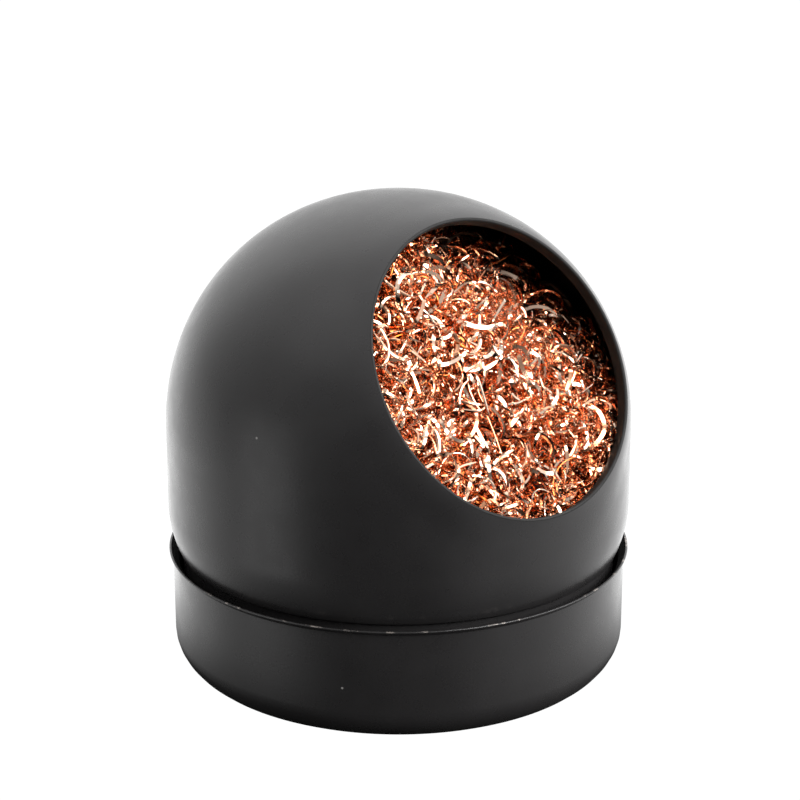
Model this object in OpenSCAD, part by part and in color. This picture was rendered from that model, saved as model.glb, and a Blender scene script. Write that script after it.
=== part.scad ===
// Dome-shaped tip cleaner for a soldering iron. A drawn steel base cup stands on
// four small rubber feet. A drawn steel dome cover pushes into the cup by a neck,
// and a ball of copper wire wool fills both. The iron's tip goes in through a
// round mouth in the dome's side. Millimetres, +Z up, the mouth faces -Y.

/* [Dome cover] */
// Outer radius of the dome and of its straight band
dome_r = 34; // [32:0.5:36]
// Height of the ball's centre above the bench
dome_z = 36.8; // [34:0.1:40]
// Height at which the straight band starts to tuck in
band_z = 25.2; // [24:0.2:26]
// Radius of the tuck below the band
tuck_r = 16; // [14:0.5:20]
// Height of the shoulder where the tuck steps in to the neck
shoulder_z = 18.7; // [18.5:0.1:19.5]
// Outer radius of the neck that pushes into the cup
neck_r = 32; // [31.2:0.1:32.1]
// Height of the neck's lower edge above the bench
neck_z = 5; // [5:0.1:12]
// Thickness of the cover's painted sheet
cover_sheet = 0.9; // [0.7:0.1:1]

/* [Mouth] */
// Angle of the mouth's axis above the bench
mouth_tilt = 32; // [25:1:40]
// Inner radius of the mouth's turned-in collar
mouth_r = 21.6; // [18:0.2:22]
// Radius of the rolled bead round the mouth
bead_r = 0.8; // [0.7:0.1:1]
// How far the bead's top stands out of the dome
bead_proud = 0.5; // [0.3:0.1:0.7]
// Depth of the collar below the bead's centre
collar_depth = 0.9; // [0.8:0.1:2]

/* [Base cup] */
// Outer radius of the cup's wall
cup_r = 33.5; // [33.2:0.1:33.9]
// Height of the cup's rim above the bench
rim_z = 18.2; // [15:0.2:18.2]
// Outer radius of the flared rim
rim_r = 34.1; // [33.6:0.1:34.6]
// Height of the flare, from the wall to the rim's top
flare_h = 1.8; // [1.6:0.2:3]
// Outer radius of the corner between wall and floor
corner_r = 5.2; // [4:0.2:6]
// Thickness of the cup's painted sheet
cup_sheet = 1; // [0.8:0.1:1]
// Radius of the dished panel under the cup
dish_r = 26; // [24:0.5:27]
// Depth of the dished panel
dish_depth = 0.9; // [0.6:0.1:1.2]

/* [Feet] */
// Gap between the cup's standing ring and the bench
foot_gap = 0.4; // [0.3:0.1:0.8]
// Diameter of a rubber foot
foot_d = 8; // [6:0.5:10]
// Distance of a foot's centre from the cup's axis
foot_offset = 19; // [16:0.5:20]

/* [Wire wool] */
// Radius of the ball of wool
wool_r = 30.2; // [28:0.1:30.3]
// Gap between the wool and the cup's floor
wool_gap = 0.4; // [0.3:0.1:1]
// Distance of the wool's face from the ball's centre, along the mouth's axis
wool_face = 20; // [16:0.5:21]
// Turn of the wool's slumped side away from the mouth
slump_turn = 32; // [0:1:60]
// Slope of the slumped side's normal above the bench
slump_tilt = 47; // [40:1:60]
// Distance of the slumped side from the ball's centre
slump_face = 24; // [20:0.5:29]

/* [Hidden] */
$fn = 96;
foot_angles = [45, 135, 225, 315];
far = 200;
ring_floor_z = foot_gap + cup_sheet;
panel_z = foot_gap + dish_depth;
wool_z = panel_z + cup_sheet + wool_gap;
bead_x = mouth_r + bead_r;
bead_z = sqrt(pow(dome_r + bead_proud - bead_r, 2) - pow(bead_x, 2));
dish_slope = 1.5;

// Half section of the dome cover, moved in from its outer face by inset.
module cover_section(inset) {
    intersection() {
        translate([0, dome_z]) circle(r = dome_r - inset, $fn = 180);
        translate([0, band_z]) square([dome_r, dome_z - band_z + dome_r]);
    }
    translate([0, band_z]) square([dome_r - inset, dome_z - band_z]);
    tuck_h = band_z - shoulder_z - inset;
    intersection() {
        translate([dome_r - tuck_r, band_z]) circle(r = tuck_r - inset, $fn = 180);
        translate([dome_r - tuck_r, shoulder_z + inset]) square([tuck_r, tuck_h]);
    }
    translate([0, shoulder_z + inset]) square([dome_r - tuck_r, tuck_h]);
    translate([0, neck_z - inset]) square([neck_r - inset, shoulder_z - neck_z + 2 * inset]);
}

// Puts what is drawn round +Z onto the mouth's axis, with the ball's centre as origin.
module on_mouth_axis() {
    translate([0, 0, dome_z]) rotate([90 - mouth_tilt, 0, 0]) children();
}

// Rolled bead and turned-in collar round the mouth.
module mouth_lip() {
    rotate_extrude() {
        translate([bead_x, bead_z]) circle(r = bead_r, $fn = 8);
        translate([mouth_r, bead_z - collar_depth]) square([bead_r, collar_depth]);
    }
}

module dome_cover() {
    color("#2b2b2d") {
        difference() {
            rotate_extrude($fn = 180) difference() {
                cover_section(0);
                cover_section(cover_sheet);
            }
            on_mouth_axis() cylinder(r = bead_x, h = far);
        }
        on_mouth_axis() mouth_lip();
    }
}

// Half section of the cup without its rim, moved in from its outer face by inset.
module cup_section(inset) {
    bottom = foot_gap + inset;
    corner = corner_r - inset;
    translate([0, bottom]) square([cup_r - corner_r, corner_r]);
    translate([cup_r - corner_r, foot_gap + corner_r]) intersection() {
        circle(r = corner, $fn = 96);
        translate([0, -corner_r]) square(corner_r);
    }
    translate([0, foot_gap + corner_r]) square([cup_r - inset, rim_z - flare_h - foot_gap - corner_r]);
}

// Half section of the flared rim.
module rim_section() {
    inner_r = cup_r - cup_sheet;
    low_z = rim_z - flare_h;
    land_z = rim_z - flare_h / 2;
    polygon([
        [inner_r, low_z],
        [cup_r, low_z],
        [rim_r, land_z],
        [rim_r, rim_z],
        [rim_r - cup_sheet, rim_z],
        [rim_r - cup_sheet, land_z],
    ]);
}

module base_cup() {
    color("#2b2b2d") rotate_extrude($fn = 180) {
        difference() {
            cup_section(0);
            cup_section(cup_sheet);
            square([dish_r + dish_slope, ring_floor_z + corner_r]);
        }
        polygon([
            [0, panel_z],
            [dish_r, panel_z],
            [dish_r + dish_slope, foot_gap],
            [dish_r + dish_slope, ring_floor_z],
            [dish_r, panel_z + cup_sheet],
            [0, panel_z + cup_sheet],
        ]);
        rim_section();
    }
}

module wire_wool() {
    color("#c8713c") difference() {
        union() {
            translate([0, 0, wool_z]) cylinder(r = wool_r, h = dome_z - wool_z);
            translate([0, 0, dome_z]) intersection() {
                sphere(r = wool_r);
                translate([0, 0, far / 2]) cube(far, center = true);
            }
        }
        on_mouth_axis() translate([0, 0, wool_face]) cylinder(r = far, h = far);
        translate([0, 0, dome_z]) rotate([0, 0, slump_turn]) rotate([90 - slump_tilt, 0, 0])
            translate([0, 0, slump_face]) cylinder(r = far, h = far);
    }
}

module foot(number) {
    color("#1c1c1e") rotate([0, 0, foot_angles[number - 1]]) translate([foot_offset, 0, 0])
        cylinder(d = foot_d, h = panel_z);
}

base_cup();
dome_cover();
wire_wool();
foot(1);  // foot_1
foot(2);  // foot_2
foot(3);  // foot_3
foot(4);  // foot_4
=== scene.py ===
"""Dome-shaped tip cleaner for a soldering iron: the looks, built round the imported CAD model.

Shapes are worked out in millimetres in the row frame and scaled to metres as each mesh is made.
Lights and the camera are placed in metres.
"""

import math

import bpy
import bmesh
import numpy as np
from mathutils import Matrix, Vector


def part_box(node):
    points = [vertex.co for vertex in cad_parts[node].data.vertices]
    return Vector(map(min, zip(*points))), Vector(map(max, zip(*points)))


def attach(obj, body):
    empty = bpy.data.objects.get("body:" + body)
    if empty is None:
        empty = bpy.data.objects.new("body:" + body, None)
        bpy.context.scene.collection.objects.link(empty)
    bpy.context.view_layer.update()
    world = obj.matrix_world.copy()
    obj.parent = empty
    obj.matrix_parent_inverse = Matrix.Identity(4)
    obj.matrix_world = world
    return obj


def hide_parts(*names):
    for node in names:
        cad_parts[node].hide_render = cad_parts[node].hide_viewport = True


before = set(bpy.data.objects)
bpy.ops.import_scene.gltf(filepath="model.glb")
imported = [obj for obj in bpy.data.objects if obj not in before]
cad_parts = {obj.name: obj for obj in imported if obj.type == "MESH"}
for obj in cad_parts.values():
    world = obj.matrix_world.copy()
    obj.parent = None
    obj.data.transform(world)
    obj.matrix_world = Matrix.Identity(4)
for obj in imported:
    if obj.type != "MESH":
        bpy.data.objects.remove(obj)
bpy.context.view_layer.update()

MM = 0.001

# ---------------------------------------------------------------- sizes, in millimetres


def box_mm(node):
    """Lowest and highest corner of a CAD node, in millimetres."""
    low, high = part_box(node)
    return np.array(low) / MM, np.array(high) / MM


cover_low, cover_high = box_mm("dome_cover")
cup_low, cup_high = box_mm("base_cup")
wool_low, wool_high = box_mm("wire_wool")

# Dome cover: a ball on a straight band, which tucks in below to a shoulder and a neck
DOME_R = (cover_high[0] - cover_low[0]) / 2
BALL_Z = cover_high[2] - DOME_R
SQUARENESS = 2.05  # exponent of the dome's profile; 2 would be a true circle
COVER_SHEET = 0.45
BAND_Z = 25.2
TUCK_R = 16.0
SHOULDER_Z = 18.7
SHOULDER_BEND = 0.3
NECK_R = 32.0
NECK_Z = cover_low[2]

# Mouth: H is a distance from the ball's centre along the mouth's axis, and R is one from that axis
MOUTH_TILT = math.radians(32)
MOUTH_R = 21.6
COLLAR_LOW_H = 24.4
LIP_BEND_R = 0.3
LIP_BEND_H = 25.8
LIP_SHEET = 0.26
LIP_START = math.radians(45)  # place on the lip's bend where it meets the dome's face
FLARE_END = math.radians(50)  # angle from the mouth's axis where the face's rise to the lip has ended

# Rows of the cover's mesh: over the lip's bend, down the dome, and those where the sheet thins to the lip
COVER_COLUMNS = 320
LIP_STEPS = 14
LIP_ROWS = LIP_STEPS + 2  # rows of faces in the bend and the collar below it
DOME_ROWS = 72
THIN_ROWS = 30
TUCK_STEPS = 16
NECK_STEPS = 8
ROW_CROWDING = 1.7  # over 1 puts the dome's rows closer together near the lip
FLARE_STEP = math.radians(0.5)  # step over which the face's slope beside the lip is measured

# Base cup: a straight wall with a flared rim, a rounded corner and a dished panel under the floor
CUP_R = 33.5
RIM_R = (cup_high[0] - cup_low[0]) / 2
RIM_Z = cup_high[2]
CUP_Z = cup_low[2]
CUP_SHEET = 0.8
RIM_SHEET = 0.35
RIM_LAND = 0.2  # height of the rim's upright edge
RIM_BEND = 0.1
FLARE_H = 0.75
CORNER_R = 5.2
DISH_R = 26.0
DISH_SLOPE = 1.5
PANEL_Z = box_mm("foot_1")[1][2]
CUP_SEGMENTS = 320
# The dull paint inside the cup, darker as painted shade, starts this far below the rim's top
DULL_SHADE_DROP = 0.3  # the dull paint inside the cup starts this far below the rim's top

# Rubber feet
FOOT_HOLLOW = 0.12
FOOT_EDGE = 0.3
FOOT_GAP = 0.02  # keeps the foot's top just under the panel

WOOL_R = (wool_high[0] - wool_low[0]) / 2
WOOL_FLOOR = wool_low[2]

BALL = np.array([0, 0, BALL_Z])
MOUTH_AXIS = np.array([0, -math.cos(MOUTH_TILT), math.sin(MOUTH_TILT)])
MOUTH_SIDE = np.array([1.0, 0, 0])
MOUTH_UP = np.array([0, math.sin(MOUTH_TILT), math.cos(MOUTH_TILT)])

# ---------------------------------------------------------------- mesh helpers


def add_mesh(name, points, quads, triangles=()):
    """A smooth-shaded mesh object from points in millimetres."""
    quads = np.asarray(quads, np.int32).reshape(-1, 4)
    triangles = np.asarray(triangles, np.int32).reshape(-1, 3)
    mesh = bpy.data.meshes.new(name)
    mesh.vertices.add(len(points))
    mesh.vertices.foreach_set("co", (np.asarray(points) * MM).astype(np.float32).ravel())
    mesh.loops.add(quads.size + triangles.size)
    mesh.loops.foreach_set("vertex_index", np.concatenate([quads.ravel(), triangles.ravel()]))
    starts = np.concatenate([np.arange(len(quads)) * 4, quads.size + np.arange(len(triangles)) * 3])
    mesh.polygons.add(len(starts))
    mesh.polygons.foreach_set("loop_start", starts.astype(np.int32))
    mesh.polygons.foreach_set("use_smooth", np.ones(len(starts), bool))
    mesh.update(calc_edges=True)
    piece = bpy.data.objects.new(name, mesh)
    bpy.context.scene.collection.objects.link(piece)
    return piece


def grid_quads(rows, columns, close_rows):
    """Quads of a grid whose columns go all the way round; its rows close too if close_rows."""
    row = np.arange(rows if close_rows else rows - 1)[:, None]
    column = np.arange(columns)[None, :]
    next_row = (row + 1) % rows
    next_column = (column + 1) % columns
    corners = [
        row * columns + column,
        row * columns + next_column,
        next_row * columns + next_column,
        next_row * columns + column,
    ]
    return np.stack(np.broadcast_arrays(*corners), -1).reshape(-1, 4)


def arc(centre, radius, start_deg, end_deg, steps):
    """Points (r, z) along an arc, both ends included."""
    turn = np.radians(np.linspace(start_deg, end_deg, steps + 1))
    return np.stack([centre[0] + radius * np.cos(turn), centre[1] + radius * np.sin(turn)], -1)


def rounded(corners, steps=6):
    """An outline through (r, z, corner radius) points, with an arc at each corner that has a radius."""
    corners = [np.array(c, float) for c in corners]
    points = []
    for i, corner in enumerate(corners):
        here, radius = corner[:2], corner[2]
        if radius == 0 or i in (0, len(corners) - 1):
            points.append(here)
            continue
        before = corners[i - 1][:2] - here
        after = corners[i + 1][:2] - here
        before /= np.linalg.norm(before)
        after /= np.linalg.norm(after)
        half = math.acos(np.clip(before @ after, -1, 1)) / 2
        middle = (before + after) / np.linalg.norm(before + after)
        centre = here + middle * radius / math.sin(half)
        start = here + before * radius / math.tan(half) - centre
        end = here + after * radius / math.tan(half) - centre
        sweep = math.atan2(start[0] * end[1] - start[1] * end[0], start @ end)
        for share in np.linspace(0, 1, steps + 1):
            c, s = math.cos(sweep * share), math.sin(sweep * share)
            points.append(centre + [start[0] * c - start[1] * s, start[0] * s + start[1] * c])
    return np.array(points)


def lathe(name, outline, segments):
    """An outline of (r, z) points that starts and ends on the axis, turned round Z."""
    turn = np.linspace(0, 2 * math.pi, segments, endpoint=False)
    ring = outline[1:-1]
    points = np.stack(
        np.broadcast_arrays(
            ring[:, None, 0] * np.cos(turn), ring[:, None, 0] * np.sin(turn), ring[:, None, 1]
        ),
        -1,
    ).reshape(-1, 3)
    first, last = len(points), len(points) + 1
    points = np.concatenate([points, [[0, 0, outline[0, 1]], [0, 0, outline[-1, 1]]]])
    column = np.arange(segments)
    next_column = (column + 1) % segments
    top_row = (len(ring) - 1) * segments
    caps = [
        np.stack([next_column, column, np.full(segments, first)], -1),
        np.stack([top_row + column, top_row + next_column, np.full(segments, last)], -1),
    ]
    return add_mesh(name, points, grid_quads(len(ring), segments, False), np.concatenate(caps))


def unit(vectors):
    return vectors / np.maximum(np.linalg.norm(vectors, axis=-1, keepdims=True), 1e-12)


# ---------------------------------------------------------------- dome cover


def plain_radius(direction):
    """Distance from the ball's centre to the dome's face without its lip, along unit directions."""
    flat = np.hypot(direction[..., 0], direction[..., 1])
    up = direction[..., 2]
    dome = DOME_R / (flat**SQUARENESS + np.maximum(up, 0) ** SQUARENESS) ** (1 / SQUARENESS)
    band = DOME_R / np.maximum(flat, 0.2)
    return np.where(up > 0, dome, band)


def mouth_direction(angle, turn):
    """Unit direction at an angle from the mouth's axis and a turn round it."""
    out = np.cos(turn)[..., None] * MOUTH_SIDE + np.sin(turn)[..., None] * MOUTH_UP
    return np.cos(angle)[..., None] * MOUTH_AXIS + np.sin(angle)[..., None] * out


def lip_edge():
    """Where the dome's face meets the lip: angle from the mouth's axis, distance from the ball and slope."""
    bend_r = MOUTH_R + LIP_BEND_R * (1 + math.cos(LIP_START))
    bend_h = LIP_BEND_H + LIP_BEND_R * math.sin(LIP_START)
    angle = math.atan2(bend_r, bend_h)
    distance = math.hypot(bend_r, bend_h)
    return angle, distance, -distance * math.tan(angle - (math.pi / 2 - LIP_START))


def cover_radius(direction):
    """Distance from the ball's centre to the dome's face, flared up to the lip round the mouth."""
    start, lip, slope = lip_edge()
    angle = np.arccos(np.clip(direction @ MOUTH_AXIS, -1, 1))
    turn = np.arctan2(direction @ MOUTH_UP, direction @ MOUTH_SIDE)
    edge = plain_radius(mouth_direction(np.full_like(turn, start), turn))
    beyond = plain_radius(mouth_direction(np.full_like(turn, start + FLARE_STEP), turn))
    span = FLARE_END - start
    t = np.clip((angle - start) / span, 0, 1)
    rise = (lip - edge) * (2 * t**3 - 3 * t**2 + 1)
    lean = (slope - (beyond - edge) / FLARE_STEP) * span * (t**3 - 2 * t**2 + t)
    return plain_radius(direction) + rise + lean


def cover_outside():
    """Rows of points over the cover's outer face, from the collar's lower edge to the neck's."""
    turn = np.linspace(0, 2 * math.pi, COVER_COLUMNS, endpoint=False)
    bend = arc((MOUTH_R + LIP_BEND_R, LIP_BEND_H), LIP_BEND_R, 180, math.degrees(LIP_START), LIP_STEPS)
    collar = [[MOUTH_R, COLLAR_LOW_H], [MOUTH_R, (COLLAR_LOW_H + LIP_BEND_H) / 2]]
    collar = np.concatenate([collar, bend])
    out = np.cos(turn)[:, None] * MOUTH_SIDE + np.sin(turn)[:, None] * MOUTH_UP
    lip = BALL + collar[:, 1, None, None] * MOUTH_AXIS + collar[:, 0, None, None] * out[None]

    drop = BALL_Z - BAND_Z
    start = lip_edge()[0]
    top = mouth_direction(np.full(COVER_COLUMNS, start), turn)
    low = np.stack([DOME_R * np.cos(turn), DOME_R * np.sin(turn), np.full(COVER_COLUMNS, -drop)], -1)
    low = unit(low)
    sweep = np.arccos(np.clip((top * low).sum(-1), -1, 1))[None, :, None]
    share = (np.linspace(0, 1, DOME_ROWS + 1)[1:] ** ROW_CROWDING)[:, None, None]
    direction = (np.sin((1 - share) * sweep) * top + np.sin(share * sweep) * low) / np.sin(sweep)
    dome = BALL + direction * cover_radius(direction)[..., None]

    lean = math.degrees(math.asin((BAND_Z - SHOULDER_Z) / TUCK_R))
    tuck = arc((DOME_R - TUCK_R, BAND_Z), TUCK_R, 0, -lean, TUCK_STEPS)[1:]
    shoulder = [
        (*tuck[-2], 0),
        (*tuck[-1], SHOULDER_BEND),
        (NECK_R, SHOULDER_Z - SHOULDER_BEND, SHOULDER_BEND),
        (NECK_R, NECK_Z, 0),
    ]
    neck = rounded(shoulder)[1:]
    wall = np.linspace(neck[-2], neck[-1], NECK_STEPS)[1:]
    below = np.concatenate([tuck[:-1], neck[:-1], wall])
    spin = np.stack([np.cos(turn), np.sin(turn)], -1)
    height = np.broadcast_to(below[:, None, 1:], (len(below), COVER_COLUMNS, 1))
    below = np.concatenate([below[:, None, :1] * spin[None], height], -1)
    return np.concatenate([lip, dome, below])


def row_normals(rows):
    """Outward unit normals of a grid of rows whose columns go all the way round."""
    along = np.gradient(rows, axis=0)
    around = np.roll(rows, -1, 1) - np.roll(rows, 1, 1)
    return unit(np.cross(along, around))


def build_cover():
    """The cover's thin shell, and which of its faces are inner or lip faces and have the dull paint, whose
    darker colour is painted shade.
    """
    outer = cover_outside()
    normal = row_normals(outer)
    thin = np.clip(1 - np.arange(len(outer)) / THIN_ROWS, 0, 1)[:, None, None]
    sheet = COVER_SHEET + (LIP_SHEET - COVER_SHEET) * thin
    inner = outer - sheet * normal

    def edge(end, tangent):
        """Rows of a half-round edge from the outer face to the inner one."""
        centre = (outer[end] + inner[end]) / 2
        turn = np.radians(np.linspace(90, -90, 7))[1:-1, None, None]
        return centre + sheet[end] / 2 * (np.sin(turn) * normal[end] + np.cos(turn) * tangent)

    low_edge = edge(-1, unit(outer[-1] - outer[-2]))
    collar_edge = edge(0, unit(outer[0] - outer[1]))[::-1]
    rows = np.concatenate([outer, low_edge, inner[::-1], collar_edge])
    quads = grid_quads(len(rows), COVER_COLUMNS, True)
    cover = add_mesh("cover_shell", rows.reshape(-1, 3), quads[:, ::-1])
    row = np.arange(len(quads)) // COVER_COLUMNS
    return cover, (row < LIP_ROWS) | (row >= len(outer) - 1)


# ---------------------------------------------------------------- base cup and feet


def build_cup():
    """The cup's thin shell, and which of its faces are inner faces and have the dull paint, whose darker
    colour is painted shade.
    """
    inner_wall = CUP_R - CUP_SHEET
    ring_z = CUP_Z + CUP_SHEET
    outline = rounded(
        [
            (0, PANEL_Z, 0),
            (DISH_R, PANEL_Z, 1.2),
            (DISH_R + DISH_SLOPE, CUP_Z, 0.8),
            (CUP_R, CUP_Z, CORNER_R),
            (CUP_R, RIM_Z - FLARE_H, 0.3),
            (RIM_R, RIM_Z - RIM_LAND, RIM_BEND),
            (RIM_R, RIM_Z, RIM_BEND),
            (RIM_R - RIM_SHEET, RIM_Z, RIM_BEND),
            (RIM_R - RIM_SHEET, RIM_Z - RIM_LAND, RIM_BEND),
            (inner_wall, RIM_Z - FLARE_H - CUP_SHEET, 0.5),
            (inner_wall, ring_z, CORNER_R - CUP_SHEET),
            (DISH_R + DISH_SLOPE, ring_z, 0.6),
            (DISH_R, PANEL_Z + CUP_SHEET, 0.6),
            (0, PANEL_Z + CUP_SHEET, 0),
        ],
        8,
    )
    cup = lathe("cup_shell", outline, CUP_SEGMENTS)
    faces = cup.data.polygons
    centre, normal = np.zeros(len(faces) * 3), np.zeros(len(faces) * 3)
    faces.foreach_get("center", centre)
    faces.foreach_get("normal", normal)
    centre, normal = centre.reshape(-1, 3), normal.reshape(-1, 3)
    inward = -(normal[:, :2] * unit(centre[:, :2])).sum(-1)
    below_rim = centre[:, 2] < (RIM_Z - DULL_SHADE_DROP) * MM
    looks_inside = (inward > 0.3) | (normal[:, 2] > 0.5)
    return cup, below_rim & (normal[:, 2] > -0.2) & looks_inside


def build_foot(number):
    """A round pad with a shallow hollow in its underside and a slanted lower edge."""
    low, high = box_mm(f"foot_{number}")
    centre = (low + high) / 2
    radius = (high[0] - low[0]) / 2
    top = high[2] - FOOT_GAP
    outline = rounded(
        [
            (0, FOOT_HOLLOW, 0),
            (radius * 0.62, FOOT_HOLLOW, 0.15),
            (radius * 0.7, 0, 0.15),
            (radius * 0.94, 0, 0.25),
            (radius, FOOT_EDGE, 0.2),
            (radius, top, 0.05),
            (0, top, 0),
        ],
        4,
    )
    foot = lathe(f"foot_pad_{number}", outline, 64)
    foot.data.transform(Matrix.Translation((centre[0] * MM, centre[1] * MM, 0)))
    return foot


# ---------------------------------------------------------------- wire wool

# The wool's two flattened sides, by their distance from the ball's centre: its face in the mouth, and the
# slumped side, whose normal is turned from the mouth towards +X
WOOL_FACE = 23.2
SLUMP_FACE = 22.9
SLUMP_TURN = math.radians(32)
SLUMP_TILT = math.radians(50)
SLUMP_NORMAL = np.array(
    [
        math.cos(SLUMP_TILT) * math.sin(SLUMP_TURN),
        -math.cos(SLUMP_TILT) * math.cos(SLUMP_TURN),
        math.sin(SLUMP_TILT),
    ]
)

# The neck holds the wool in up to this height, and above it the wool bulges out into the dome
NECK_TOP_Z = 17.5
WOOL_BULGE = 2.3
WOOL_GAP = 1.1
FAR_INSIDE = -99

# How near the dome strands may come, how far they may pass the collar's lower edge and the wool's wall, how
# far they may pass its floor, and the most by which a strand may keep further off than that
STRAND_GAP = 0.5
STRAND_OVER = 0.5
FLOOR_OVER = 0.1
STRAND_SLACK = 0.9

# The core, a near-black shell that is painted shade for the tangle's depths, starts this deep under the
# wool's outside; it is found from a centre, along straight lines
CORE_DEPTH = 4.2
CORE_CENTRE = np.array([0, 0, 30.0])
CORE_REACH = 60.0
CORE_LUMP = 0.7

# How much a strand differs from a plain coil, as shares of its curl's radius
CURL_GROWTH = 0.45
CURL_WOBBLE = 0.12
CURL_BEND = 0.35

PITCH = 2.4  # most that a strand rises in a turn
TWIST = 1.2  # most that it rolls over its length, in radians
THICKNESS = (0.04, 0.09)
TIP_SHARE = 0.2  # width of its tip, as a share of its full width
TAPER_RATE = 7  # how fast that share grows with the share of its length
SECTION = 3  # corners of its section

# Strand centres are drawn from this box, which is as wide as the dome and a little higher than it
SCATTER_LOW = (-34, -34, 0)
SCATTER_HIGH = (34, 34, 72)
SCATTER_COUNT = 40000
BACK_SHARE = 0.3  # share of the centres kept where the mouth doesn't show them

# Kinds of strand: depth of their centres under the wool's outside, radius of the curl, turns, width, tone
# from red to pale, and how flat they lie on the wool's face. The dark red tones of the deeper fine strands
# are painted shade of the tangle's depths; the pale tones are the copper's own colour.
RIBBONS = dict(
    depth=(0.0, 2.2), radius=(1.3, 3.3), turns=(0.3, 0.95), width=(0.32, 0.62), tone_and_shade=(0.6, 1), lie=1.2
)
FINE = dict(
    depth=(1.3, 6.5), radius=(0.8, 2.4), turns=(0.6, 1.8), width=(0.15, 0.34), tone_and_shade=(0, 0.6), lie=0.6
)
HAIRS = dict(
    depth=(-0.4, 2.0), radius=(1.6, 4.2), turns=(0.6, 1.5), width=(0.06, 0.12), tone_and_shade=(0.2, 1), lie=0.6
)
STRAYS = dict(
    depth=(-1.6, -0.2), radius=(1.6, 3.4), turns=(0.3, 0.9), width=(0.25, 0.45), tone_and_shade=(0.7, 1), lie=1.0
)


def lumps(points, size, seed):
    """Smooth noise, mostly between -1 and 1, with features about size across."""
    rng = np.random.default_rng(seed)
    total = np.zeros(points.shape[:-1])
    for _ in range(10):
        wave = unit(rng.normal(size=3)) * rng.uniform(0.6, 1.5) * math.pi / size
        total += np.sin(points @ wave + rng.uniform(0, 2 * math.pi))
    return total / 4.5


def wool_wall(height):
    """Radius that the wool is held in by the neck, and above it by the dome."""
    share = np.clip((height - NECK_TOP_Z) / (BAND_Z - NECK_TOP_Z), 0, 1)
    return WOOL_R + WOOL_BULGE * share**2 * (3 - 2 * share)


def wool_depth(points):
    """Rough distance of points to the outside of the wool, negative inside it."""
    away = points - BALL
    face = away @ MOUTH_AXIS - WOOL_FACE - 1.0 * lumps(points, size=7, seed=11)
    slump = away @ SLUMP_NORMAL - SLUMP_FACE - 1.3 * lumps(points, size=8, seed=12)
    round_wall = np.hypot(points[..., 0], points[..., 1]) - wool_wall(points[..., 2])
    ball = np.linalg.norm(away, axis=-1) - (DOME_R - COVER_SHEET - WOOL_GAP)
    ball = np.where(away[..., 2] > 0, ball, FAR_INSIDE)
    floor = WOOL_FLOOR - points[..., 2]
    return np.max([face, slump, round_wall, ball, floor], axis=0)


def keep_inside(points, slack):
    """Presses points back inside the cover and the cup; slack is each strand's own extra gap to them."""
    away = points - BALL
    limit = DOME_R - COVER_SHEET - STRAND_GAP - slack
    reach = np.linalg.norm(away, axis=-1)
    shrink = np.where(away[..., 2] > 0, np.minimum(1, limit / np.maximum(reach, 1e-6)), 1)
    away = away * shrink[..., None]
    height = away @ MOUTH_AXIS
    over = np.maximum(height - (COLLAR_LOW_H + STRAND_OVER - slack), 0)
    away = away - over[..., None] * MOUTH_AXIS
    points = away + BALL
    flat = np.hypot(points[..., 0], points[..., 1])
    wall = wool_wall(points[..., 2]) + STRAND_OVER - slack
    squeeze = np.minimum(1, wall / np.maximum(flat, 1e-6))
    points = points * np.stack([squeeze, squeeze, np.ones_like(squeeze)], -1)
    points[..., 2] = np.maximum(points[..., 2], WOOL_FLOOR - FLOOR_OVER + slack)
    return points


def strand_paths(rng, centres, radius, turns, pitch, steps, lie):
    """Centre lines and radial directions of curled strands; lie is how flat they lie on the wool's face."""
    count = len(centres)
    axis = unit(rng.normal(size=(count, 3)) + lie * MOUTH_AXIS)
    side = unit(np.cross(axis, rng.normal(size=(count, 3))))
    third = np.cross(axis, side)
    t = np.linspace(0, 1, steps + 1)[None, :]
    turn = rng.uniform(0, 2 * math.pi, (count, 1)) + 2 * math.pi * turns[:, None] * t
    grow = 1 + rng.uniform(-CURL_GROWTH, CURL_GROWTH, (count, 1)) * (t - 0.5) * 2
    waves = rng.uniform(1.4, 2.6, (count, 1))
    wobble = 1 + CURL_WOBBLE * np.sin(turn * waves + rng.uniform(0, 6, (count, 1)))
    reach = radius[:, None] * grow * wobble
    radial = np.cos(turn)[..., None] * side[:, None] + np.sin(turn)[..., None] * third[:, None]
    rise = (pitch * turns)[:, None] * (t - 0.5)
    path = centres[:, None] + reach[..., None] * radial + rise[..., None] * axis[:, None]
    bend_axis = unit(rng.normal(size=(count, 3)))
    bend_size = rng.uniform(-1, 1, (count, 1)) * (2 * t - 1) ** 2
    bend = bend_axis[:, None] * bend_size[..., None]
    return path + bend * radius[:, None, None] * CURL_BEND, radial


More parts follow.
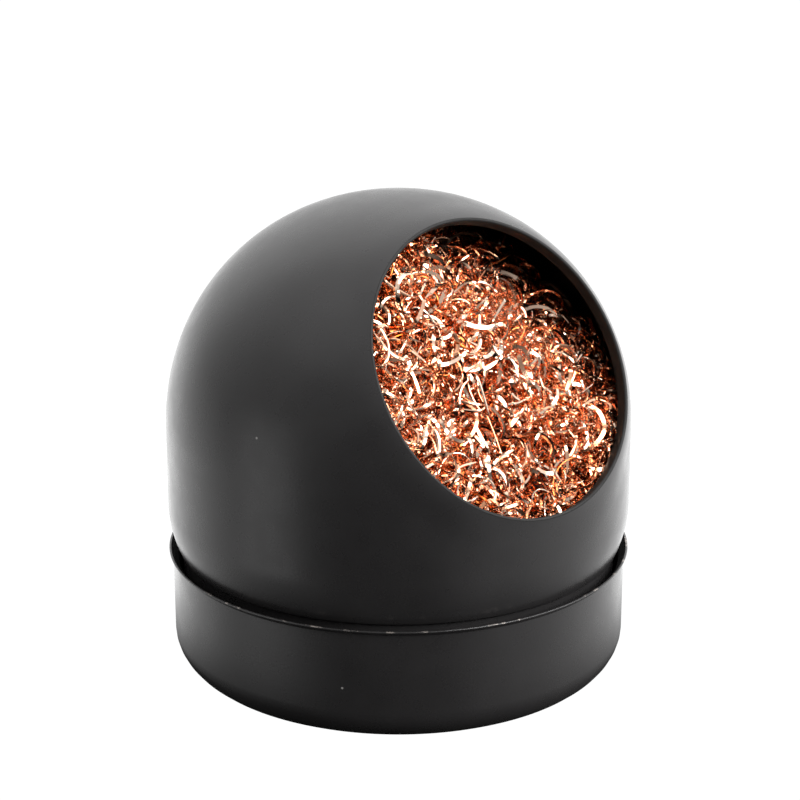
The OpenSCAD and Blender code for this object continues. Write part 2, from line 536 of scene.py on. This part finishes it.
def ribbon_mesh(name, path, radial, roll, width, thick, tone_and_shade):
    """Closed thin ribbons along paths: three-cornered, with one broad flat face, and tapered at both ends.

    roll has two columns, the turn of a ribbon about its length at its start and the twist it gains.
    """
    count, rings = path.shape[:2]
    tangent = unit(np.gradient(path, axis=1))
    radial = unit(radial - (radial * tangent).sum(-1, keepdims=True) * tangent)
    across = np.cross(tangent, radial)
    t = np.linspace(0, 1, rings)
    angle = (roll[:, :1] + roll[:, 1:] * t)[..., None]
    across, radial = (
        np.cos(angle) * across + np.sin(angle) * radial,
        np.cos(angle) * radial - np.sin(angle) * across,
    )
    taper = np.clip(np.minimum(t, 1 - t) * TAPER_RATE + TIP_SHARE, 0, 1)[None, :, None]
    half = width[:, None, None] / 2 * taper
    ridge = path + radial * thick[:, None, None] * taper
    points = np.stack([path + across * half, path - across * half, ridge], 2)
    first = np.arange(count)[:, None, None] * rings * SECTION
    ring = np.arange(rings - 1)[None, :, None] * SECTION
    here = np.arange(SECTION)[None, None, :]
    after = (here + 1) % SECTION
    base = first + ring
    corners = [base + here, base + after, base + SECTION + after, base + SECTION + here]
    quads = np.stack(corners, -1).reshape(-1, 4)
    start = np.arange(count)[:, None] * rings * SECTION
    end = start + (rings - 1) * SECTION
    caps = np.concatenate([start + [2, 1, 0], end + [0, 1, 2]])
    piece = add_mesh(name, points.reshape(-1, 3), quads, caps)
    mesh = piece.data
    ends = np.zeros(len(mesh.edges) * 2, np.int32)
    mesh.edges.foreach_get("vertices", ends)
    lengthwise = np.abs(ends[0::2] - ends[1::2]) == SECTION
    sharp = mesh.attributes.new("sharp_edge", "BOOLEAN", "EDGE")
    sharp.data.foreach_set("value", lengthwise)
    attribute = mesh.attributes.new("tone_and_shade", "FLOAT", "POINT")
    attribute.data.foreach_set("value", np.repeat(tone_and_shade, rings * SECTION).astype(np.float32))
    return piece


def scatter(rng, count, shallow, deep):
    """Random points whose depth under the wool's outside is between shallow and deep, denser at the mouth."""
    found = []
    total = 0
    while total < count:
        points = rng.uniform(SCATTER_LOW, SCATTER_HIGH, (SCATTER_COUNT, 3))
        depth = -wool_depth(points)
        away = unit(points - BALL)
        near_mouth = away @ MOUTH_AXIS > 0.6
        in_layer = (depth > shallow) & (depth < deep)
        keep = in_layer & (near_mouth | (rng.random(len(points)) < BACK_SHARE))
        found.append(points[keep])
        total += keep.sum()
    return np.concatenate(found)[:count]


def build_strands(name, seed, count, steps, depth, radius, turns, width, tone_and_shade, lie):
    """One piece of the tangle; every pair gives the lowest and highest value that its strands take."""
    rng = np.random.default_rng(seed)
    centres = scatter(rng, count, *depth)
    reach = rng.uniform(*radius, count)
    winds = rng.uniform(*turns, count)
    pitch = rng.uniform(-PITCH, PITCH, count)
    path, radial = strand_paths(rng, centres, reach, winds, pitch, steps, lie)
    path = keep_inside(path, rng.uniform(0.0, STRAND_SLACK, (count, 1)))
    thick = rng.uniform(*THICKNESS, count)
    roll = rng.uniform((0, -TWIST), (2 * math.pi, TWIST), (count, 2))
    widths = rng.uniform(*width, count)
    tones_and_shades = rng.uniform(*tone_and_shade, count)
    return ribbon_mesh(name, path, radial, roll, widths, thick, tones_and_shades)


def build_wool():
    """The tangle: broad bright ribbons and fine darker ones, in pieces small enough to export whole, then
    hairs and a few stray ribbons that stand out of it."""
    pieces = []
    for n in range(1, 5):
        pieces.append(build_strands(f"wool_ribbons_{n}", seed=100 + n, count=1330, steps=24, **RIBBONS))
    for n in range(1, 4):
        pieces.append(build_strands(f"wool_fine_{n}", seed=200 + n, count=1300, steps=22, **FINE))
    pieces.append(build_strands("wool_hairs", seed=300, count=450, steps=36, **HAIRS))
    pieces.append(build_strands("wool_strays", seed=400, count=60, steps=30, **STRAYS))
    return pieces


def build_core():
    """The inside of the tangle, a few millimetres under its outside, as a near-black shell of painted shade.
    """
    bm = bmesh.new()
    bmesh.ops.create_icosphere(bm, subdivisions=6, radius=1)
    mesh = bpy.data.meshes.new("wool_core")
    bm.to_mesh(mesh)
    bm.free()
    direction = np.zeros(len(mesh.vertices) * 3, np.float32)
    mesh.vertices.foreach_get("co", direction)
    direction = unit(direction.reshape(-1, 3).astype(float))
    near, far = np.zeros(len(direction)), np.full(len(direction), CORE_REACH)
    for _ in range(24):
        middle = (near + far) / 2
        inside = wool_depth(CORE_CENTRE + direction * middle[:, None]) < -CORE_DEPTH
        near = np.where(inside, middle, near)
        far = np.where(inside, far, middle)
    points = CORE_CENTRE + direction * near[:, None]
    points += direction * (CORE_LUMP * lumps(points, size=1.6, seed=21))[:, None]
    mesh.vertices.foreach_set("co", (points * MM).astype(np.float32).ravel())
    mesh.polygons.foreach_set("use_smooth", np.ones(len(mesh.polygons), bool))
    mesh.update()
    core = bpy.data.objects.new("wool_core", mesh)
    bpy.context.scene.collection.objects.link(core)
    return core


# ---------------------------------------------------------------- materials


class Nodes:
    """Short calls for building a material's node tree."""

    def __init__(self, name):
        self.material = bpy.data.materials.new(name)
        self.material.use_nodes = True
        self.tree = self.material.node_tree
        self.shader = self.tree.nodes["Principled BSDF"]
        self.place = self.add("ShaderNodeTexCoord").outputs["Object"]

    def add(self, kind, **settings):
        node = self.tree.nodes.new(kind)
        for key, value in settings.items():
            setattr(node, key, value)
        return node

    def link(self, source, target):
        self.tree.links.new(source, target)

    def noise(self, scale, detail, roughness=0.5):
        """Noise from 0 to 1, with about scale features in a metre."""
        node = self.add("ShaderNodeTexNoise")
        node.inputs["Scale"].default_value = scale
        node.inputs["Detail"].default_value = detail
        node.inputs["Roughness"].default_value = roughness
        self.link(self.place, node.inputs["Vector"])
        return node.outputs["Fac"]

    def ramp(self, value, stops):
        """Colour from a value, blended between stops of (position, colour)."""
        node = self.add("ShaderNodeValToRGB")
        elements = node.color_ramp.elements
        while len(elements) < len(stops):
            elements.new(0.5)
        for element, (position, colour) in zip(elements, stops):
            element.position = position
            element.color = (*colour, 1)
        self.link(value, node.inputs["Fac"])
        return node.outputs["Color"]

    def span(self, value, from_low, from_high, to_low, to_high):
        """A value moved from one range to another, and kept within the second."""
        node = self.add("ShaderNodeMapRange")
        node.inputs["From Min"].default_value = from_low
        node.inputs["From Max"].default_value = from_high
        node.inputs["To Min"].default_value = to_low
        node.inputs["To Max"].default_value = to_high
        self.link(value, node.inputs["Value"])
        return node.outputs["Result"]

    def mix(self, share, first, second):
        """A blend of two colours, given as values or sockets; 6 and 7 are the node's colour inputs."""
        node = self.add("ShaderNodeMix", data_type="RGBA")
        self.link(share, node.inputs["Factor"])
        for socket, value in ((node.inputs[6], first), (node.inputs[7], second)):
            if isinstance(value, tuple):
                socket.default_value = (*value, 1)
            else:
                self.link(value, socket)
        return node.outputs[2]

    def math(self, operation, first, second):
        node = self.add("ShaderNodeMath", operation=operation)
        for socket, value in ((node.inputs[0], first), (node.inputs[1], second)):
            if isinstance(value, (int, float)):
                socket.default_value = value
            else:
                self.link(value, socket)
        return node.outputs[0]

    def bump(self, height, strength, distance):
        """Fine relief from a height; distance is its depth in metres."""
        node = self.add("ShaderNodeBump")
        node.inputs["Strength"].default_value = strength
        node.inputs["Distance"].default_value = distance
        self.link(height, node.inputs["Height"])
        self.link(node.outputs["Normal"], self.shader.inputs["Normal"])


CHIP_LOW = 0.14  # bare chips start this far below the rim's top, in millimetres
CHIP_FULL = 0.06


def black_paint(name, rim=None):
    """Satin black paint on steel with a fine grain and dust; if rim is given, an edge at that height has
    bare chips."""
    m = Nodes(name)
    colour = m.ramp(m.noise(90, 4), [(0.3, (0.019, 0.0181, 0.0184)), (0.7, (0.025, 0.0239, 0.0242))])
    dust = m.add("ShaderNodeTexVoronoi", feature="F1")
    dust.inputs["Scale"].default_value = 210
    m.link(m.place, dust.inputs["Vector"])
    speck = m.span(dust.outputs["Distance"], 0.02, 0.045, 1, 0)
    chosen = m.span(m.noise(160, 1), 0.6, 0.62, 0, 1)
    colour = m.mix(m.math("MULTIPLY", speck, chosen), colour, (0.3, 0.29, 0.28))
    if rim:
        height = m.add("ShaderNodeSeparateXYZ")
        m.link(m.place, height.inputs[0])
        edge = m.span(height.outputs["Z"], (rim - CHIP_LOW) * MM, (rim - CHIP_FULL) * MM, 0, 1)
        patches = m.span(m.noise(420, 5, 0.7), 0.55, 0.63, 0, 1)
        bare = m.math("MULTIPLY", edge, patches)
        colour = m.mix(bare, colour, (0.4, 0.36, 0.33))
        m.link(m.math("MULTIPLY", bare, 0.8), m.shader.inputs["Metallic"])
    m.link(colour, m.shader.inputs["Base Color"])
    m.link(m.span(m.noise(260, 5, 0.6), 0.3, 0.7, 0.25, 0.32), m.shader.inputs["Roughness"])
    m.bump(m.noise(3000, 3), strength=0.22, distance=0.00005)
    return m.material


def copper():
    """Bright copper whose colour and gloss follow each strand's tone; its dark red end is painted shade."""
    m = Nodes("copper_ribbon")
    tone_and_shade = m.add("ShaderNodeAttribute", attribute_name="tone_and_shade").outputs["Fac"]
    # Dark red at low tones is painted shade for the deep fine strands; the pale end is the copper's own
    # colour.
    colour = m.ramp(
        tone_and_shade,
        [
            (0.0, (0.62, 0.1, 0.015)),
            (0.45, (0.84, 0.27, 0.08)),
            (0.75, (0.98, 0.57, 0.38)),
            (1.0, (0.99, 0.76, 0.6)),
        ],
    )
    m.link(colour, m.shader.inputs["Base Color"])
    m.shader.inputs["Metallic"].default_value = 1
    m.link(m.span(tone_and_shade, 0, 1, 0.26, 0.1), m.shader.inputs["Roughness"])
    m.bump(m.noise(5200, 2), strength=0.25, distance=0.00003)
    return m.material


def painted_shade_copper():
    """Painted shade: the nearly black red that stands for the wool's shadowed depths."""
    m = Nodes("copper_shadow")
    colour = m.ramp(m.noise(900, 4), [(0.35, (0.012, 0.003, 0.001)), (0.7, (0.09, 0.022, 0.008))])
    m.link(colour, m.shader.inputs["Base Color"])
    m.shader.inputs["Metallic"].default_value = 0.4
    m.link(m.span(m.noise(1500, 2), 0.3, 0.7, 0.5, 0.8), m.shader.inputs["Roughness"])
    m.bump(m.noise(1400, 4), strength=0.8, distance=0.0006)
    return m.material


def rubber():
    """Matte black rubber."""
    m = Nodes("foot_rubber")
    colour = m.ramp(m.noise(500, 4), [(0.3, (0.014, 0.014, 0.014)), (0.7, (0.024, 0.023, 0.022))])
    m.link(colour, m.shader.inputs["Base Color"])
    m.link(m.span(m.noise(900, 3), 0.3, 0.7, 0.7, 0.88), m.shader.inputs["Roughness"])
    m.bump(m.noise(2500, 3), strength=0.3, distance=0.00006)
    return m.material


def dull_paint_and_shade(name):
    """Dull paint on the faces that are turned inwards and round the mouth's lip; its darker colour is painted
    shade that keeps the lip and the insides near black.
    """
    m = Nodes(name)
    # Darker than the outer paint: painted shade.
    colour = m.ramp(m.noise(120, 4), [(0.3, (0.009, 0.0088, 0.0087)), (0.7, (0.015, 0.0145, 0.0142))])
    m.link(colour, m.shader.inputs["Base Color"])
    m.shader.inputs["Specular IOR Level"].default_value = 0.25
    m.link(m.span(m.noise(300, 4), 0.3, 0.7, 0.5, 0.65), m.shader.inputs["Roughness"])
    m.bump(m.noise(2200, 3), strength=0.2, distance=0.00005)
    return m.material


def paint(piece, material):
    piece.data.materials.append(material)


def paint_inside(piece, material, faces):
    """Gives the chosen faces a second material."""
    piece.data.materials.append(material)
    piece.data.polygons.foreach_set("material_index", faces.astype(np.int32))


# ---------------------------------------------------------------- assembly

cover, cover_inside_shade = build_cover()
paint(cover, black_paint("cover_paint"))
paint_inside(cover, dull_paint_and_shade("cover_inside_shade"), cover_inside_shade)
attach(cover, "cover")
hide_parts("dome_cover")

cup, cup_inside_shade = build_cup()
paint(cup, black_paint("cup_paint", RIM_Z))
paint_inside(cup, dull_paint_and_shade("cup_inside_shade"), cup_inside_shade)
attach(cup, "base")
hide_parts("base_cup")

foot_rubber = rubber()
for number in range(1, 5):
    foot = build_foot(number)
    paint(foot, foot_rubber)
    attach(foot, "base")
    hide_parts(f"foot_{number}")

core = build_core()
paint(core, painted_shade_copper())
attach(core, "wool")
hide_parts("wire_wool")

ribbon_copper = copper()
for ribbons in build_wool():
    paint(ribbons, ribbon_copper)
    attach(ribbons, "wool")

# ---------------------------------------------------------------- stage, light and camera

# Stage, in millimetres: a round white floor just under the bench's level, and the painted patch of table
# shadow on it
STAGE_R = 2600.0
STAGE_WALL_Z = 2400
STAGE_TOP_Z = 2600
STAGE_BEND = 900
STAGE_FLOOR_Z = -0.02
STAGE_LEVEL = 1.05
SHADE_R = 150
SHADE_Z = -0.01
SHADE_SEGMENTS = 64

# Distances from the axis, in metres, between which the table shade fades out
SHADE_NEAR = 0.034
SHADE_FAR = 0.052


def emitting(name, colour, strength):
    """A material that only glows."""
    material = bpy.data.materials.new(name)
    material.use_nodes = True
    tree = material.node_tree
    tree.nodes.clear()
    glow = tree.nodes.new("ShaderNodeEmission")
    glow.inputs["Color"].default_value = (*colour, 1)
    glow.inputs["Strength"].default_value = strength
    output = tree.nodes.new("ShaderNodeOutputMaterial")
    tree.links.new(glow.outputs[0], output.inputs["Surface"])
    return material


def hide_from(piece, *rays):
    for ray in rays:
        setattr(piece, f"visible_{ray}", False)


def build_stage():
    """A white floor that curves up into a backdrop all round, seen by the camera only."""
    outline = rounded(
        [
            (0, STAGE_FLOOR_Z, 0),
            (STAGE_R, STAGE_FLOOR_Z, STAGE_BEND),
            (STAGE_R, STAGE_WALL_Z, 0),
            (0, STAGE_TOP_Z, 0),
        ],
        12,
    )
    stage = lathe("stage", outline, 96)
    paint(stage, emitting("stage_white", (1, 1, 1), STAGE_LEVEL))
    hide_from(stage, "diffuse", "glossy", "transmission", "shadow")


def build_table_shade():
    """Painted shadow: a dark disc for the table's contact shade round the cup, which the cup's lower wall
    mirrors: opaque near the cup, clear further out.
    """
    turn = np.linspace(0, 2 * math.pi, SHADE_SEGMENTS, endpoint=False)
    height = np.full(SHADE_SEGMENTS, SHADE_Z)
    ring = np.stack([SHADE_R * np.cos(turn), SHADE_R * np.sin(turn), height], -1)
    column = np.arange(SHADE_SEGMENTS)
    middle = np.full(SHADE_SEGMENTS, SHADE_SEGMENTS)
    fan = np.stack([column, (column + 1) % SHADE_SEGMENTS, middle], -1)
    shade = add_mesh("table_shade", np.concatenate([ring, [[0, 0, SHADE_Z]]]), [], fan)
    m = Nodes("table_shade")
    distance = m.add("ShaderNodeVectorMath", operation="LENGTH")
    m.link(m.place, distance.inputs[0])
    m.link(m.span(distance.outputs["Value"], SHADE_NEAR, SHADE_FAR, 1, 0), m.shader.inputs["Alpha"])
    m.shader.inputs["Base Color"].default_value = (0.02, 0.02, 0.02, 1)
    m.shader.inputs["Roughness"].default_value = 1
    m.shader.inputs["Specular IOR Level"].default_value = 0
    paint(shade, m.material)
    hide_from(shade, "camera", "shadow")


def area_light(name, place, aim, width, height, strength):
    """A soft light at a place in metres, turned to aim; strength is its radiance."""
    data = bpy.data.lights.new(name, "AREA")
    data.shape = "RECTANGLE"
    data.size, data.size_y = width, height
    data.energy = strength * math.pi * width * height
    light = bpy.data.objects.new(name, data)
    bpy.context.scene.collection.objects.link(light)
    light.location = place
    light.rotation_euler = (Vector(aim) - Vector(place)).to_track_quat("-Z", "Y").to_euler()


# Camera: turned from the mouth's side (-Y) towards -X, raised above the bench, and this far from its aim
VIEW_TURN = math.radians(41.2)
VIEW_RISE = math.radians(20.43)
VIEW_RANGE = 0.3767
AIM = Vector((0, 0, 0.0304))
SENSOR_WIDTH = 36
LENS = 114.8
SHIFT_X = 0.0019
SHIFT_Y = 0.0776

# Room and lights: how far the dark behind the camera lies below the level, the room's brightness, and the
# place that every light is turned to
DARK_DROP = math.radians(15)
ROOM_LEVEL = 2.2
LIT_PLACE = (0, 0, 0.035)


def from_camera(right, away, up):
    """A place in the row frame from distances to the camera's right, away from it and up, in metres."""
    right_axis = Vector((math.cos(VIEW_TURN), -math.sin(VIEW_TURN), 0))
    away_axis = Vector((math.sin(VIEW_TURN), math.cos(VIEW_TURN), 0))
    return right_axis * right + away_axis * away + Vector((0, 0, up))


def build_world():
    """A bright room all round, dark behind the camera and straight below."""
    world = bpy.data.worlds.new("studio")
    bpy.context.scene.world = world
    world.use_nodes = True
    tree = world.node_tree
    glow = tree.nodes["Background"]
    direction = tree.nodes.new("ShaderNodeTexCoord").outputs["Generated"]

    def levels(axis, stops):
        """Brightness from how far the direction points along an axis: stops are (cosine, level up to 1)."""
        dot = tree.nodes.new("ShaderNodeVectorMath")
        dot.operation = "DOT_PRODUCT"
        dot.inputs[1].default_value = axis
        tree.links.new(direction, dot.inputs[0])
        span = tree.nodes.new("ShaderNodeMapRange")
        span.inputs["From Min"].default_value = -1
        tree.links.new(dot.outputs["Value"], span.inputs["Value"])
        ramp = tree.nodes.new("ShaderNodeValToRGB")
        elements = ramp.color_ramp.elements
        while len(elements) < len(stops):
            elements.new(0.5)
        for element, (cosine, level) in zip(elements, stops):
            element.position = (cosine + 1) / 2
            element.color = (level, level, level, 1)
        tree.links.new(span.outputs["Result"], ramp.inputs["Fac"])
        return ramp.outputs["Color"]

    bright_side = from_camera(0, math.cos(DARK_DROP), math.sin(DARK_DROP))
    around = levels(bright_side, [(-0.9, 0), (-0.7, 0.15), (0, 0.4), (0.5, 0.7), (0.7, 1)])
    upward = levels((0, 0, 1), [(-0.85, 0.1), (-0.4, 1), (0.1, 0.5), (0.6, 0.75)])
    tree.links.new(around, glow.inputs["Color"])
    strength = tree.nodes.new("ShaderNodeMath")
    strength.operation = "MULTIPLY"
    strength.inputs[1].default_value = ROOM_LEVEL
    tree.links.new(upward, strength.inputs[0])
    tree.links.new(strength.outputs[0], glow.inputs["Strength"])


def build_lights():
    """Soft lights round the object: name, place from the camera's view, width, height and radiance."""
    for name, place, width, height, strength in (
        ("main_box", (0.62, -0.6, 0.55), 0.5, 0.5, 12),
        ("right_box", (0.8, -0.1, 0.42), 0.45, 0.45, 7),
        ("right_back", (0.7, 0.5, 0.1), 0.4, 0.5, 1.2),
        ("left_strip", (-0.72, -0.34, -0.1), 0.4, 0.5, 0.7),
        ("left_fill", (-0.45, -0.35, 0.8), 0.6, 0.6, 0.3),
        ("top_right", (0.4, 0.0, 0.85), 0.3, 0.3, 8),
    ):
        area_light(name, from_camera(*place), LIT_PLACE, width, height, strength)


def build_camera():
    data = bpy.data.cameras.new("camera")
    data.sensor_width = SENSOR_WIDTH
    data.lens = LENS
    data.shift_x, data.shift_y = SHIFT_X, SHIFT_Y
    data.clip_start, data.clip_end = 0.01, 12
    camera = bpy.data.objects.new("camera", data)
    bpy.context.scene.collection.objects.link(camera)
    back = Vector(
        (
            -math.sin(VIEW_TURN) * math.cos(VIEW_RISE),
            -math.cos(VIEW_TURN) * math.cos(VIEW_RISE),
            math.sin(VIEW_RISE),
        )
    )
    camera.location = AIM + back * VIEW_RANGE
    camera.rotation_euler = (-back).to_track_quat("-Z", "Y").to_euler()
    bpy.context.scene.camera = camera


build_stage()
build_table_shade()
build_world()
build_lights()
build_camera()
bpy.context.scene.view_settings.view_transform = "Standard"
